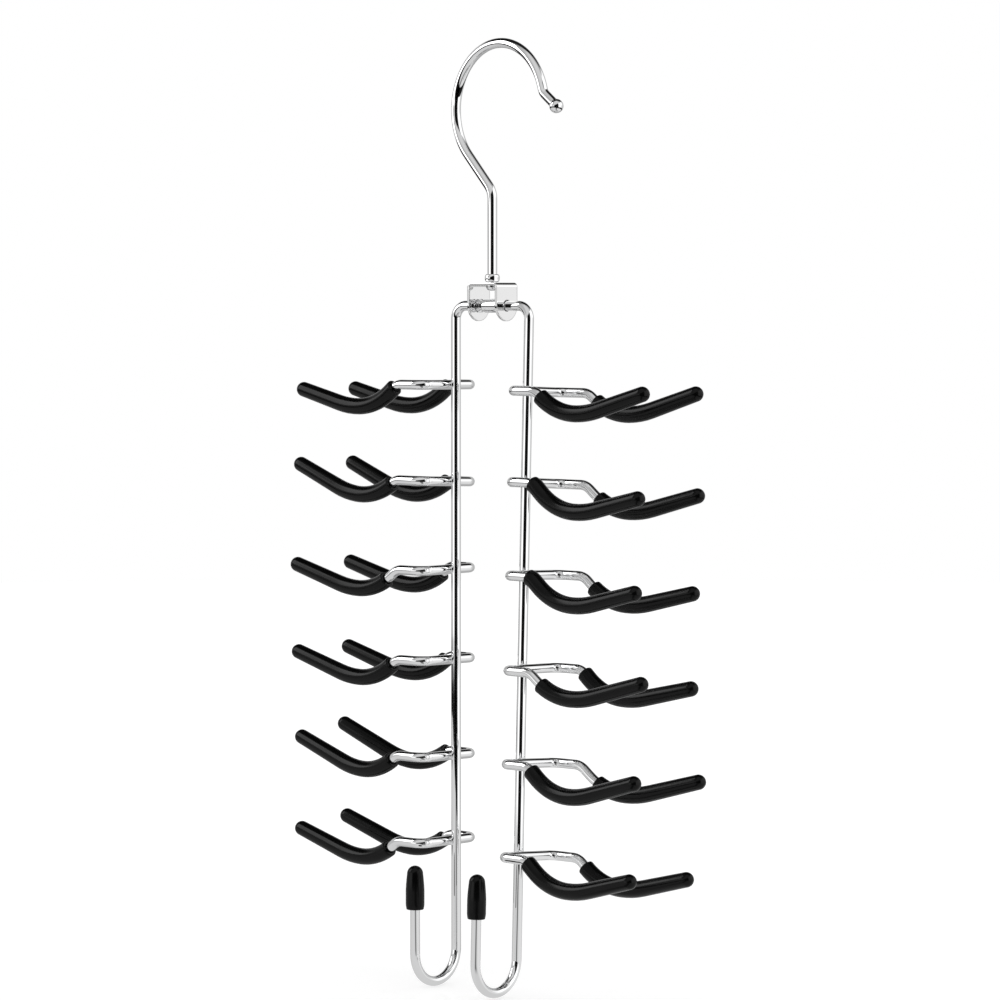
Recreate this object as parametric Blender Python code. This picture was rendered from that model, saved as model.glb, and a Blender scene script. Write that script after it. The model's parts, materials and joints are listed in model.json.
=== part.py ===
"""Tie and belt hanger.

A chromed wire hook swivels in a folded steel bracket. Two long wires hang from the bracket, one on each
side, and each turns by itself on its bent-over top end. Six wire forks are welded to the outer side of each
long wire, with a black PVC sleeve on every prong. Each wire ends in a J-shaped belt hook with a black cap.

Metres, +Z up. The origin is on the inside of the hook, straight above the stem, where it hangs on a rod. +X
runs along the two arm ends, towards the right-hand arm, and the belt hooks bend towards -Y, the front.
"""

import math
from typing import NamedTuple

import bmesh
import bpy
import numpy as np

# Clearances
GAP = 0.0003  # between two pieces that touch, or that turn in one another
ARM_END_GAP = 0.0008  # between the two arm ends inside their coupling

# Hook
HOOK_WIRE_R = 0.002
LOOP_R = 0.0264  # centreline of the round part
LOOP_SHIFT = 0.0044  # centre of the round part, from the stem towards the opening
SHOULDER_BELOW = 0.007  # lowest level of the round part down to where the slanting run meets the stem's line
SHOULDER_FILLET = 0.008
STEM_LENGTH = 0.0372  # that meeting point down to the top of the bracket
LOOP_END = math.radians(12.0)  # where the loop stops, above the level of its centre
LIP_SLOPE = math.radians(36.5)  # how far the turned-out lip points below level
LIP_LENGTH = 0.0095  # loop end to the ball's centre
LIP_FILLET = 0.004
BALL_OVERSIZE = 0.00085  # ball's radius over the wire's
HOOK_TURN = math.radians(-5.7)  # how the hook stands turned on its swivel
RIVET_OVERHANG = 0.0007  # peened head's radius over the wire's, below the bracket's top plate
RIVET_H = 0.0018
COLLAR_WALL = 0.00075
COLLAR_H = 0.0031
COLLAR_ROUND = 0.0004  # how much slimmer the collar is at its two ends

# Bracket
BRACKET_X = 0.0162  # outside width across the two plates
BRACKET_Y = 0.0129
SHEET = 0.0012
FOLD_INNER_R = 0.0006
ROUND_DROP = 0.0092  # top of the bracket down to the middle of the plates' round ends
BAR_DROP = 0.0094  # top of the bracket down to the arm ends' axis

# Arm ends' coupling
COUPLING_WALL = 0.0005
GROOVE_AT = 0.0048  # middle of each crimped neck, from the middle of the bracket
GROOVE_W = 0.0012
GROOVE_DEPTH = 0.0006

# Arms
ARM_R = 0.002
ARM_STANDOFF = 0.0119  # outside of the bracket out to the hanging wire
ARM_BEND_R = 0.0055
BELT_HOOK_R = 0.0125
SHORT_LEG = 0.0342  # end of the belt hook's bend up to the wire's end
CAP_LENGTH = 0.018
CAP_WALL = 0.00155
CAP_TAPER = 0.00055  # how much slimmer the cap is below its rounded top
CAP_END_WALL = 0.002
LEFT_ARM_SWING = 0.0
RIGHT_ARM_SWING = math.radians(-1.65)  # the right arm stands a little forward of the left one

# Forks
FORK_R = 0.002
FORK_HALF_WIDTH = 0.01615
FORK_CORNER_R = 0.0045
PRONG_LEVEL = 0.0066  # corner to the start of the downward bend
PRONG_BEND_R = 0.008
PRONG_FALL = math.radians(38.0)
PRONG_SLANT = 0.0007  # straight run between the bend and the dip
DIP_R = 0.030  # fall side of the dip
RISE_R = 0.042  # rise side of the dip
PRONG_RISE = math.radians(15.6)
PRONG_TIP_RUN = 0.0275  # end of the dip's rise side to the sleeve's rounded end
SLEEVE_WALL = 0.0011
SLEEVE_END_WALL = 0.0015
SLEEVE_TAPER = 0.0003  # how much slimmer the sleeve is before its rounded end
SLEEVE_LIP = 0.0004

FIRST_ROW_DROP = 0.0335  # arm ends' axis down to the first fork
ROW_PITCH = 0.0378
LAST_ROW_TO_FOOT = 0.055  # last row down to the lowest point of the arm wire's centreline


class Fork(NamedTuple):
    """How one fork came off the bending and welding jigs."""

    lower: float  # below its row's place
    lean: float  # degrees that its back end is higher than its front end
    deeper: float  # added to the straight run down to the dip
    reach: float  # added to the run from the dip to the tip
    front_raise: float  # degrees that the front prong is turned up at its bend
    back_raise: float
    splay: float  # how far each tip stands out from its prong's corner
    front_start: float  # corner to the front sleeve's mouth
    back_start: float


FORKS = {
    "left": [
        Fork(-0.0010, -0.6, 0.0004, -0.0028, -1.5, -1.4, -0.0005, 0.0105, 0.0100),
        Fork(0.0010, -2.3, 0.0008, -0.0009, 6.0, 6.9, -0.0005, 0.0120, 0.0105),
        Fork(-0.0005, 0.0, 0.0004, 0.0007, 0.2, -0.3, 0.0, 0.0150, 0.0135),
        Fork(-0.0010, -0.8, 0.0003, 0.0012, 0.2, 0.8, -0.0010, 0.0120, 0.0115),
        Fork(0.0010, -1.2, 0.0, 0.0022, 3.0, 6.9, -0.0035, 0.0125, 0.0105),
        Fork(-0.0015, -0.5, 0.0, 0.0012, 0.2, 3.1, -0.0025, 0.0140, 0.0125),
    ],
    "right": [
        Fork(0.0010, -0.8, 0.0008, -0.0010, 0.7, 1.6, 0.0005, 0.0122, 0.0142),
        Fork(0.0001, -1.8, 0.0022, -0.0016, -2.4, -0.4, 0.0024, 0.0090, 0.0164),
        Fork(-0.0004, -0.6, 0.0015, -0.0022, -1.9, -2.6, 0.0020, 0.0081, 0.0145),
        Fork(-0.0002, 0.0, 0.0010, 0.0004, -0.3, -3.2, -0.0005, 0.0154, 0.0108),
        Fork(0.0002, -2.0, 0.0027, 0.0002, -0.2, -0.5, 0.0042, 0.0113, 0.0184),
        Fork(0.0001, -2.6, 0.0022, -0.0026, -1.0, -1.2, 0.0017, 0.0104, 0.0133),
    ],
}

# Facets
WIRE_SIDES = 8
LONG_WIRE_SIDES = 12
TURNED_SIDES = 12
HOLE_SIDES = 24
PLATE_END_STEPS = 20

# Places that follow from the sizes
STEM_HOLE_R = HOOK_WIRE_R + GAP
ARM_HOLE_R = ARM_R + GAP
FOLD_R = FOLD_INNER_R + SHEET
LOOP_Z = -math.sqrt((LOOP_R - HOOK_WIRE_R) ** 2 - LOOP_SHIFT**2)
SHOULDER_Z = LOOP_Z - LOOP_R - SHOULDER_BELOW
BRACKET_TOP_Z = SHOULDER_Z - STEM_LENGTH
BAR_Z = BRACKET_TOP_Z - BAR_DROP
ARM_X = BRACKET_X / 2 + ARM_STANDOFF
ARM_DROP = FIRST_ROW_DROP + (len(FORKS["left"]) - 1) * ROW_PITCH + LAST_ROW_TO_FOOT
FORK_X = ARM_X + ARM_R + FORK_R + GAP
BEND_X = FORK_CORNER_R + PRONG_LEVEL


# Paths and skins


def unit(v):
    v = np.asarray(v, float)
    return v / np.linalg.norm(v)


def fillet(before, corner, after, radius, steps):
    """Points of the arc that rounds a corner of a path, from one straight run to the next."""
    before, corner, after = (np.asarray(p, float) for p in (before, corner, after))
    back, on = unit(before - corner), unit(after - corner)
    half = math.acos(float(np.clip(back @ on, -1, 1))) / 2
    centre = corner + unit(back + on) * radius / math.sin(half)
    start = corner + back * radius / math.tan(half)
    end = corner + on * radius / math.tan(half)
    first, last = start - centre, end - centre
    sweep = math.pi - 2 * half
    return [
        centre
        + (math.sin(sweep * (1 - t)) * first + math.sin(sweep * t) * last) / math.sin(sweep)
        for t in (k / steps for k in range(steps + 1))
    ]


def rings_along(points, radii, sides):
    """One ring of points round each point of a path that starts nearly square to Y. Each ring is the last
    one's shadow along the run between them, on the plane that halves the turn there, so the tube keeps its
    thickness. The radius is measured to the flats."""
    points = np.asarray(points, float)
    runs = [unit(b - a) for a, b in zip(points, points[1:])]
    across = unit(np.array([0.0, 1.0, 0.0]) - runs[0] * runs[0][1])
    up = np.cross(runs[0], across)
    turns = (np.arange(sides) + 0.5) * 2 * math.pi / sides
    offsets = (np.outer(np.cos(turns), across) + np.outer(np.sin(turns), up)) / math.cos(math.pi / sides)
    rings = []
    for i, (point, radius) in enumerate(zip(points, radii)):
        if i:
            normal = unit(runs[i - 1] + runs[min(i, len(runs) - 1)])
            shift = (offsets @ normal) / (runs[i - 1] @ normal)
            offsets = offsets - np.outer(shift, runs[i - 1])
        rings.append(point + offsets * radius)
    return rings


def skin(name, rings, material, through=False):
    """Joins rings into one closed body: with a hole right through it, or else closed at both ends."""
    sides = len(rings[0])
    mesh = bmesh.new()
    loops = [[mesh.verts.new(tuple(p)) for p in ring] for ring in rings]
    pairs = list(zip(loops, loops[1:]))
    if through:
        pairs.append((loops[-1], loops[0]))
    else:
        mesh.faces.new(loops[0])
        mesh.faces.new(loops[-1])
    for a, b in pairs:
        for k in range(sides):
            n = (k + 1) % sides
            mesh.faces.new((a[k], a[n], b[n], b[k]))
    bmesh.ops.recalc_face_normals(mesh, faces=mesh.faces)
    return add_object(name, mesh, material)


def add_object(name, mesh, material):
    data = bpy.data.meshes.new(name)
    mesh.to_mesh(data)
    mesh.free()
    data.shade_smooth()
    data.set_sharp_from_angle(angle=math.radians(50))
    data.materials.append(material)
    made = bpy.data.objects.new(name, data)
    bpy.context.scene.collection.objects.link(made)
    return made


def add_empty(name, location):
    made = bpy.data.objects.new(name, None)
    made.empty_display_size = ARM_X
    made.location = location
    bpy.context.scene.collection.objects.link(made)
    return made


def finish(name, colour, roughness, metallic):
    made = bpy.data.materials.new(name)
    made.use_nodes = True
    shader = made.node_tree.nodes["Principled BSDF"]
    shader.inputs["Base Color"].default_value = (*colour, 1.0)
    shader.inputs["Roughness"].default_value = roughness
    shader.inputs["Metallic"].default_value = metallic
    return made


def extruded(name, outline, depth, axis, material):
    """A flat outline square to X or Y, drawn as (across, up), carried half the depth to each side."""
    mesh = bmesh.new()

    def corner(across, up, out):
        return (out, across, up) if axis == "X" else (across, out, up)

    face = mesh.faces.new([mesh.verts.new(corner(a, u, -depth / 2)) for a, u in outline])
    made = bmesh.ops.extrude_face_region(mesh, geom=[face])
    moved = [v for v in made["geom"] if isinstance(v, bmesh.types.BMVert)]
    bmesh.ops.translate(mesh, verts=moved, vec=corner(0.0, 0.0, depth))
    bmesh.ops.recalc_face_normals(mesh, faces=mesh.faces)
    return add_object(name, mesh, material)


def cut(target, tool, operation):
    """Cuts with a tool that stays in the file as a wire outline and isn't rendered."""
    tool.hide_render = True
    tool.display_type = "WIRE"
    change = target.modifiers.new(tool.name, "BOOLEAN")
    change.operation = operation
    change.solver = "EXACT"
    change.object = tool


# Hook and collar


def hook_path():
    """Centreline of the hook from the stem's foot to where its lip runs straight, as (towards the opening,
    0, height), and the middle of the ball at the lip's end."""

    def round_the_loop(turn):
        return np.array([LOOP_SHIFT + LOOP_R * math.cos(turn), 0.0, LOOP_Z + LOOP_R * math.sin(turn)])

    shoulder = np.array([0.0, 0.0, SHOULDER_Z])
    foot = np.array([0.0, 0.0, BRACKET_TOP_Z - SHEET - GAP])
    shoulder_drop = LOOP_Z - SHOULDER_Z
    from_centre = math.atan2(-shoulder_drop, -LOOP_SHIFT) % (2 * math.pi)
    loop_start = from_centre - math.acos(LOOP_R / math.hypot(LOOP_SHIFT, shoulder_drop))
    lip_turn = math.pi / 2 - LOOP_END - LIP_SLOPE
    loop_end = LOOP_END + LIP_FILLET * math.tan(lip_turn / 2) / LOOP_R
    lip_corner = round_the_loop(LOOP_END)
    ball = lip_corner + LIP_LENGTH * np.array([math.cos(LIP_SLOPE), 0.0, -math.sin(LIP_SLOPE)])
    above_corner = lip_corner + np.array([-math.sin(LOOP_END), 0.0, math.cos(LOOP_END)])
    turns = np.linspace(loop_start, loop_end, 22)
    path = [foot, *fillet(foot, shoulder, round_the_loop(loop_start), SHOULDER_FILLET, 4)]
    path += [round_the_loop(turn) for turn in turns]
    path += fillet(above_corner, lip_corner, ball, LIP_FILLET, 3)[1:]
    return path, ball


def make_hook(chrome):
    """The hook wire with its ball end and the head peened over below the bracket, and its collar."""
    path, ball = hook_path()
    on = unit(ball - path[-1])
    ball_r = HOOK_WIRE_R + BALL_OVERSIZE
    neck = math.asin(HOOK_WIRE_R / ball_r)
    turns = [neck + (math.radians(157) - neck) * k / 4 for k in range(5)]
    head_r = HOOK_WIRE_R + RIVET_OVERHANG
    head = [path[0] - (0, 0, RIVET_H), path[0] - (0, 0, RIVET_H / 2), path[0]]
    points = [*head, path[0] + (0, 0, GAP), *path[1:], *(ball - on * ball_r * math.cos(t) for t in turns)]
    radii = [head_r * 0.6, head_r, head_r, *[HOOK_WIRE_R] * len(path), *(ball_r * math.sin(t) for t in turns)]
    hook = skin("hook_wire", rings_along(points, radii, LONG_WIRE_SIDES), chrome)
    hook.rotation_euler.z = HOOK_TURN
    line = [(0, 0, BRACKET_TOP_Z + GAP + COLLAR_H * share) for share in (0.0, 0.25, 0.75, 1.0)]
    widest = STEM_HOLE_R + COLLAR_WALL
    slimmer = widest - COLLAR_ROUND
    outside = rings_along(line, [slimmer, widest, widest, slimmer], TURNED_SIDES)
    inside = rings_along(line, [STEM_HOLE_R] * 4, TURNED_SIDES)
    collar = skin("stem_collar", [*outside, *inside[::-1]], chrome, through=True)
    collar.parent = hook


# Bracket and coupling


def make_bracket(steel):
    """An inverted U of sheet, rounded at both folds, with round plate ends, a hole for the stem and two for
    the arms."""
    side = BRACKET_X / 2
    foot = -ROUND_DROP - BRACKET_Y

    def fold(sign, radius, inset):
        """Points of one rounded fold, from the plate to the top."""
        x, z = side - FOLD_R, -FOLD_R
        turns = [math.pi / 2 * k / 4 for k in range(5)]
        arc = [(sign * (x + radius * math.cos(t)), z + radius * math.sin(t)) for t in turns]
        return [(sign * (side - inset), foot), *arc]

    outside = fold(1, FOLD_R, 0.0) + fold(-1, FOLD_R, 0.0)[::-1]
    inside = fold(-1, FOLD_INNER_R, SHEET) + fold(1, FOLD_INNER_R, SHEET)[::-1]
    bracket = extruded("bracket", outside + inside, BRACKET_Y, "Y", steel)
    bracket.location = (0.0, 0.0, BRACKET_TOP_Z)

    half = BRACKET_Y / 2
    turns = [math.pi * k / PLATE_END_STEPS for k in range(PLATE_END_STEPS + 1)]
    profile = [(-half * math.cos(t), -ROUND_DROP - half * math.sin(t)) for t in turns]
    profile += [(half, SHEET), (-half, SHEET)]
    plate_shape = extruded("plate_shape", profile, BRACKET_X * 2, "X", steel)
    plate_shape.parent = bracket
    cut(bracket, plate_shape, "INTERSECT")

    arm_hole = [(-BRACKET_X, 0, 0), (BRACKET_X, 0, 0)]
    arm_holes = skin("arm_holes", rings_along(arm_hole, [ARM_HOLE_R] * 2, HOLE_SIDES), steel)
    arm_holes.parent = bracket
    arm_holes.location.z = -BAR_DROP
    cut(bracket, arm_holes, "DIFFERENCE")

    stem_line = [(0, 0, -2 * SHEET), (0, 0, SHEET)]
    stem_hole = skin("stem_hole", rings_along(stem_line, [STEM_HOLE_R] * 2, HOLE_SIDES), steel)
    stem_hole.parent = bracket
    cut(bracket, stem_hole, "DIFFERENCE")
    return bracket


def groove_stations(sign):
    """Where an arm end's groove starts and stops, and how deep it is there, outward from the middle."""
    near, far = GROOVE_AT - GROOVE_W / 2, GROOVE_AT + GROOVE_W / 2
    return [
        (sign * (near - GROOVE_DEPTH), 0.0),
        (sign * near, GROOVE_DEPTH),
        (sign * far, GROOVE_DEPTH),
        (sign * (far + GROOVE_DEPTH), 0.0),
    ]


def make_coupling(chrome):
    """The sleeve that both arm ends turn in, crimped into the groove of each."""
    half = BRACKET_X / 2 - SHEET - GAP
    stations = [(-half, 0.0), *groove_stations(-1)[::-1], *groove_stations(1), (half, 0.0)]
    line = [(x, 0, 0) for x, _ in stations]
    bore = [ARM_HOLE_R - depth for _, depth in stations]
    outside = rings_along(line, [r + COUPLING_WALL for r in bore], TURNED_SIDES)
    inside = rings_along(line, bore, TURNED_SIDES)
    coupling = skin("arm_coupling", [*outside, *inside[::-1]], chrome, through=True)
    coupling.location = (0.0, 0.0, BAR_Z)
    return coupling


# Arms


def make_arm(side, sign, swing, chrome, black):
    """A hanging wire with its belt hook and cap. Its pivot lies on the axis of the two arm ends."""
    pivot = add_empty(f"{side}_arm_pivot", (0.0, 0.0, BAR_Z))
    pivot.rotation_euler.x = swing
    x = sign * ARM_X
    foot_z = -ARM_DROP + BELT_HOOK_R
    leg_y = -2 * BELT_HOOK_R
    leg_top = foot_z + SHORT_LEG
    start = (sign * ARM_END_GAP / 2, 0.0, 0.0)
    grooves = groove_stations(sign)
    turns = [math.pi * k / 10 for k in range(11)]
    belt_hook = [(x, BELT_HOOK_R * (math.cos(t) - 1), foot_z - BELT_HOOK_R * math.sin(t)) for t in turns]
    path = [start, *((at, 0.0, 0.0) for at, _ in grooves)]
    path += fillet(start, (x, 0.0, 0.0), belt_hook[0], ARM_BEND_R, 5)
    path += [*belt_hook, (x, leg_y, leg_top)]
    radii = [ARM_R] * len(path)
    for k, (_, depth) in enumerate(grooves):
        radii[k + 1] -= depth
    arm = skin(f"{side}_arm_wire", rings_along(path, radii, LONG_WIRE_SIDES), chrome)
    arm.parent = pivot

    cap = skin(f"{side}_foot_cap", cap_rings(), black)
    cap.parent = pivot
    cap.location = (x, leg_y, leg_top + GAP)
    return pivot


def cap_rings():
    """A blind cap like a small bullet, with height counted from the top of its bore."""
    mouth_z = CAP_END_WALL - CAP_LENGTH
    outer_r = ARM_HOLE_R + CAP_WALL
    top_r = outer_r - CAP_TAPER
    round_z = CAP_END_WALL - top_r
    outline = [
        (mouth_z, outer_r - CAP_TAPER),
        (mouth_z + CAP_TAPER, outer_r),
        (mouth_z + CAP_LENGTH / 2, outer_r),
        *((round_z + top_r * math.sin(t), top_r * math.cos(t)) for t in map(math.radians, (0, 35, 70))),
    ]
    outside = rings_along([(0, 0, z) for z, _ in outline], [r for _, r in outline], TURNED_SIDES)
    inside = rings_along([(0, 0, mouth_z), (0, 0, 0)], [ARM_HOLE_R] * 2, TURNED_SIDES)
    return [*inside[::-1], *outside]


# Forks


def prong_line(made, raised, y):
    """Centreline of one prong from its bend to its sleeve's end: bent down, straight, round through the
    dip, and straight up to the tip. The whole of it is turned up by some degrees at the bend, and its tip
    stands off its corner's side by the splay."""
    fall, rise, slant = PRONG_FALL, PRONG_RISE, PRONG_SLANT + made.deeper
    points = [(PRONG_BEND_R * math.sin(t), PRONG_BEND_R * (math.cos(t) - 1)) for t in (0.0, fall / 2, fall)]
    dip_x = points[-1][0] + slant * math.cos(fall) + DIP_R * math.sin(fall)
    dip_z = points[-1][1] - slant * math.sin(fall) - DIP_R * (1 - math.cos(fall))
    falling = [fall * (1 - k / 3) for k in range(4)]
    points += [(dip_x - DIP_R * math.sin(t), dip_z + DIP_R * (1 - math.cos(t))) for t in falling]
    rise_x, rise_z = dip_x + RISE_R * math.sin(rise), dip_z + RISE_R * (1 - math.cos(rise))
    points.append((rise_x, rise_z))
    run = PRONG_TIP_RUN + made.reach
    points.append((rise_x + run * math.cos(rise), rise_z + run * math.sin(rise)))
    up = math.radians(raised)
    out = made.splay * np.sign(y) / points[-1][0]
    return [
        np.array(
            [
                BEND_X + x * math.cos(up) - z * math.sin(up),
                y + out * x,
                x * math.sin(up) + z * math.cos(up),
            ]
        )
        for x, z in points
    ]


def shortened(points, length):
    """A path with its last run cut back by a length."""
    return [*points[:-1], points[-1] - unit(points[-1] - points[-2]) * length]


def fork_rings(front, back):
    """A staple: from the end of one prong along the base bar to the end of the other."""
    cut_back = SLEEVE_END_WALL + GAP
    corners = [np.array([0.0, line[0][1], 0.0]) for line in (back, front)]
    path = shortened(back, cut_back)[::-1]
    path += fillet(back[0], corners[0], corners[1], FORK_CORNER_R, 3)
    path += fillet(corners[0], corners[1], front[0], FORK_CORNER_R, 3)
    path += shortened(front, cut_back)
    return rings_along(path, [FORK_R] * len(path), WIRE_SIDES)


def sleeve_rings(line, start):
    """A blind tube over one prong, from a distance off the base bar to past the wire's end."""
    if start < line[0][0]:
        line = [np.array([start, line[0][1], 0.0]), *line]
    ahead = next(k for k, p in enumerate(line) if p[0] > start + SLEEVE_LIP * 2)
    before, after = line[ahead - 1], line[ahead]
    line = [before + (after - before) * (start - before[0]) / (after[0] - before[0]), *line[ahead:]]
    bore_r = FORK_R + GAP
    outer_r = bore_r + SLEEVE_WALL
    end_r = outer_r - SLEEVE_TAPER
    bulk = shortened(line, end_r)
    on = unit(line[-1] - bulk[-1])
    turns = [math.radians(45), math.radians(80)]
    tip = [bulk[-1] + on * end_r * math.sin(t) for t in turns]
    outer_line = [line[0], line[0] + unit(line[1] - line[0]) * SLEEVE_LIP, *bulk[1:], *tip]
    radii = [outer_r - SLEEVE_LIP, *[outer_r] * (len(bulk) - 1), end_r, *(end_r * math.cos(t) for t in turns)]
    bore_line = shortened(line, SLEEVE_END_WALL)
    inside = rings_along(bore_line, [bore_r] * len(bore_line), WIRE_SIDES)
    return [*inside[::-1], *rings_along(outer_line, radii, WIRE_SIDES)]


def make_forks(side, sign, pivot, chrome, black):
    """The six forks of one arm. A left fork is a right one turned round, so in its own axes its front prong
    is the one at +Y."""
    for row, made in enumerate(FORKS[side]):
        front_y = -sign * FORK_HALF_WIDTH
        front = prong_line(made, made.front_raise, front_y)
        back = prong_line(made, made.back_raise, -front_y)
        name = f"{side}_fork_{row + 1}"
        fork = skin(name, fork_rings(front, back), chrome)
        fork.parent = pivot
        fork.location = (sign * FORK_X, 0.0, -(FIRST_ROW_DROP + row * ROW_PITCH + made.lower))
        fork.rotation_euler = (sign * math.radians(made.lean), 0.0, 0.0 if sign > 0 else math.pi)
        for place, line, start in (("front", front, made.front_start), ("back", back, made.back_start)):
            sleeve = skin(f"{name}_{place}_sleeve", sleeve_rings(line, FORK_CORNER_R + start), black)
            sleeve.parent = fork


def main():
    for old in list(bpy.data.objects):
        bpy.data.objects.remove(old)
    chrome = finish("chrome", (0.78, 0.79, 0.80), 0.08, 1.0)
    steel = finish("nickel_plate", (0.72, 0.72, 0.72), 0.22, 1.0)
    black = finish("black_pvc", (0.012, 0.012, 0.013), 0.38, 0.0)
    make_hook(chrome)
    make_bracket(steel)
    make_coupling(chrome)
    for side, sign, swing in (("left", -1, LEFT_ARM_SWING), ("right", 1, RIGHT_ARM_SWING)):
        pivot = make_arm(side, sign, swing, chrome, black)
        make_forks(side, sign, pivot, chrome, black)


main()
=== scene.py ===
"""The tie and belt hanger, dressed for its photograph.

Bright chromed wire, a plated swivel bracket and black PVC sleeves, in a white studio with a dark camera
side. Metres, +Z up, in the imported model's frame: +X runs along the two arm ends towards the right-hand arm,
and -Y is the front. Every piece is drawn again here as a smooth surface, by the same sizes as the solids.
"""

import json
import math
from typing import NamedTuple

import bpy
import numpy as np
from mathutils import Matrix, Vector


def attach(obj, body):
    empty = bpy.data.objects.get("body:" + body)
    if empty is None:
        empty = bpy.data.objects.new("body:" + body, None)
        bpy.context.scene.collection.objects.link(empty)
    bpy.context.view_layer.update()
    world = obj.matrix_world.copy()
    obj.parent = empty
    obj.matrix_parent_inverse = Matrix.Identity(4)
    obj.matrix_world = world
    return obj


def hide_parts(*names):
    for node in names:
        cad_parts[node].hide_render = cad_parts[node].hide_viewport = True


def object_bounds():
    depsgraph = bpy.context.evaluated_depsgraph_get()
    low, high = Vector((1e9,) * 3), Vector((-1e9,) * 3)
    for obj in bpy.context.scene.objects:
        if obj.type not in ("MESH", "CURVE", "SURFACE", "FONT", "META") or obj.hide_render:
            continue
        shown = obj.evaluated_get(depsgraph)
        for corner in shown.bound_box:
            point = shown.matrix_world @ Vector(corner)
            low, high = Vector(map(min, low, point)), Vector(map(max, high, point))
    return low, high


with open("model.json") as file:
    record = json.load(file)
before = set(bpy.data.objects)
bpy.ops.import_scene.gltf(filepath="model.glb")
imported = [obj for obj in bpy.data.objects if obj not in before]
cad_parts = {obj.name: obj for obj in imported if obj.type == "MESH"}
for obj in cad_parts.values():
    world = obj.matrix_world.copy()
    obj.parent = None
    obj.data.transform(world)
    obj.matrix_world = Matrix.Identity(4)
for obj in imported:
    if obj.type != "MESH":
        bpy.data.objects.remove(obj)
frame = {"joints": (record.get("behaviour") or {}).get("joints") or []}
SOLID_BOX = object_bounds()
PIVOTS = {joint["name"]: joint["pos_m"] for joint in frame["joints"]}

# Clearances
GAP = 0.0003  # between pieces that touch in the real hanger
ARM_END_GAP = 0.0008  # between the two arm ends inside their coupling
FLOOR_GAP = 0.0001  # hanger's lowest point to the table

# Hook
HOOK_WIRE_R = 0.002
LOOP_R = 0.0264  # centreline of the round part
LOOP_SHIFT = 0.0044  # centre of the round part, from the stem towards the opening
SHOULDER_BELOW = 0.007  # foot of the round part down to where the slanting run meets the stem's line
SHOULDER_FILLET = 0.008  # bend radius there
LOOP_END = math.radians(12.0)  # where the loop stops, above the level of its centre
LIP_SLOPE = math.radians(36.5)  # how far the turned-out lip points below level
LIP_LENGTH = 0.0095  # end of the loop to the ball's middle
LIP_FILLET = 0.004
BALL_OVERSIZE = 0.00085  # the ball's radius beyond the wire's
HOOK_TURN = math.radians(-5.7)  # how far the hook is turned in the bracket
RIVET_OVERHANG = 0.0007  # radius of the stem's head beyond the wire's
RIVET_H = 0.0018
RIVET_SIDE = 0.9 * GAP  # straight side of the head, up to its top face
RIVET_FULLNESS = 0.7  # a power: below 1, a round outline is fuller than an oval
COLLAR_WALL = 0.00075  # the collar's width beyond the stem's hole
COLLAR_H = 0.0031
COLLAR_FULLNESS = 0.8
COLLAR_SPAN = math.radians(86.0)  # its outline runs this far up and down from its widest level

# Bracket
BRACKET_X = 0.0162  # outside, from plate to plate
BRACKET_Y = 0.0129  # width of a plate, and across its round end
SHEET = 0.0012  # thickness
FOLD_INNER_R = 0.0006
ROUND_DROP = 0.0092  # top of the bracket down to the middle of the plates' round ends
SHEET_EDGE_R = 0.00025  # easing of the sheet's edges

# Arm ends' coupling
COUPLING_WALL = 0.0005
GROOVE_AT = 0.0048  # middle of the bar to the middle of each crimped neck
GROOVE_W = 0.0012
GROOVE_DEPTH = 0.0006

# Arms
ARM_R = 0.002
ARM_STANDOFF = 0.0119  # plate's outer face to the hanging wire's centreline
ARM_BEND_R = 0.0055
BELT_HOOK_R = 0.0125  # centreline
SHORT_LEG = 0.0342  # from the belt hook's bend up to the wire's end
CAP_LENGTH = 0.018
CAP_WALL = 0.00155  # at its widest
CAP_TAPER = 0.00055  # how much slimmer the side ends
CAP_END_WALL = 0.002
CAP_LIP = 0.0003  # rounding of the mouth's rim
CAP_SWELL = 0.0022  # height over which the side swells to its full width
CAP_SLIMS_FROM = 0.5  # share of the side's height where it begins to slim
CAP_SLIM_POWER = 1.5
SWINGS = {"left": 0.0, "right": math.radians(-1.65)}  # about the bar
SIGNS = {"left": -1, "right": 1}  # which way along X

# Forks
FORK_R = 0.002
FORK_HALF_WIDTH = 0.01615  # middle of the base bar to a prong's centreline
FORK_CORNER_R = 0.0045
PRONG_LEVEL = 0.0066  # corner's bend to the prong's bend
PRONG_BEND_R = 0.008
PRONG_FALL = math.radians(38.0)  # slant of the prong as it drops
PRONG_SLANT = 0.0007  # straight run between the bend and the dip
DIP_R = 0.030  # arc down to the dip's lowest point
RISE_R = 0.042  # arc up from it
PRONG_RISE = math.radians(15.6)  # slope of the tip's straight run
PRONG_TIP_RUN = 0.0275
SLEEVE_WALL = 0.0011
SLEEVE_END_WALL = 0.0015
SLEEVE_TAPER = 0.0003  # how much slimmer the tip is
SLEEVE_LIP = 0.0004
SLEEVE_LIP_CLEAR = 0.0006  # mouth to the first ring behind the rounded lip, at the least
WELD_SIZE = (0.0009, 0.0016, 0.0016)  # half sizes of the bead between arm and fork

FIRST_ROW_DROP = 0.0335  # bar down to the first forks
ROW_PITCH = 0.0378
LAST_ROW_TO_FOOT = 0.055  # last forks down to the belt hook's lowest centreline


class Fork(NamedTuple):
    """How one fork came off the bending and welding jigs."""

    lower: float  # below its row's place
    lean: float  # degrees that its back end is higher than its front end
    deeper: float  # added to the straight run down to the dip
    reach: float  # added to the run from the dip to the tip
    front_raise: float  # degrees that the front prong is turned up at its bend
    back_raise: float
    splay: float  # how far each tip stands out from its prong's corner
    front_start: float  # corner to the front sleeve's mouth
    back_start: float


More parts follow.
